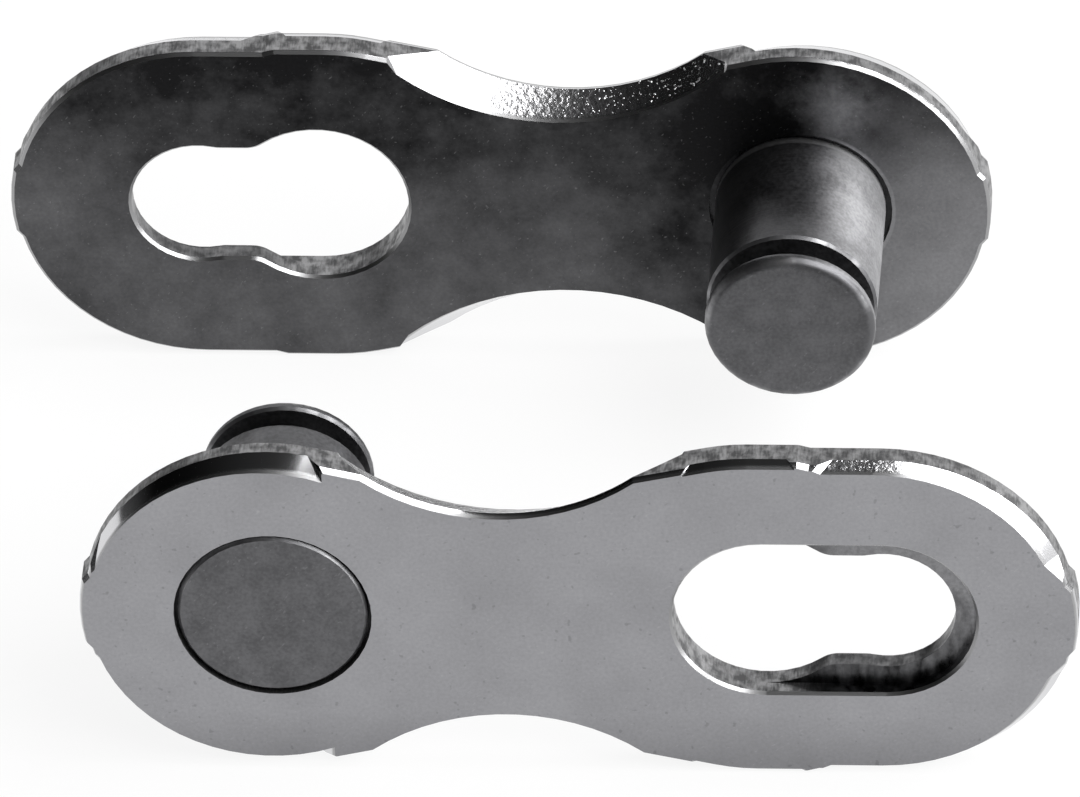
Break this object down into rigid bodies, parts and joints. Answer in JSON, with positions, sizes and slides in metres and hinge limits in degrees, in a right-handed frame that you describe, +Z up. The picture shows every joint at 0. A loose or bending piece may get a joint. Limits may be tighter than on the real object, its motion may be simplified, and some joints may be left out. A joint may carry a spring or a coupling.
{
  "type": "bicycle chain connecting link",
  "caption": "Quick connecting link for a bicycle chain: two like halves, each a plate with a keyhole and a riveted, grooved pin, which slide together and lock.",
  "frame": {"origin": "on the ground under the middle of the link: midway between the two pins along the chain, and midway between the two plates", "axes": "+X along the chain, +Y along the pins from the front plate to the rear one, +Z up the height of the plates"},
  "size_m": [0.0232, 0.015, 0.008],
  "materials": {
    "plate": "nickel-plated stamped steel, satin, with bright pressed bevels",
    "pin": "hardened turned steel, dull grey"
  },
  "bodies": {
    "rear_half": {"rear_plate": "plate", "rear_pin": "pin"},
    "front_half": {"front_plate": "plate", "front_pin": "pin"}
  },
  "joints": [
    {"name": "closing", "type": "slide", "parent": "rear_half", "child": "front_half", "axis": [0, 1, 0], "range_m": [0, 0.01]}
  ]
}
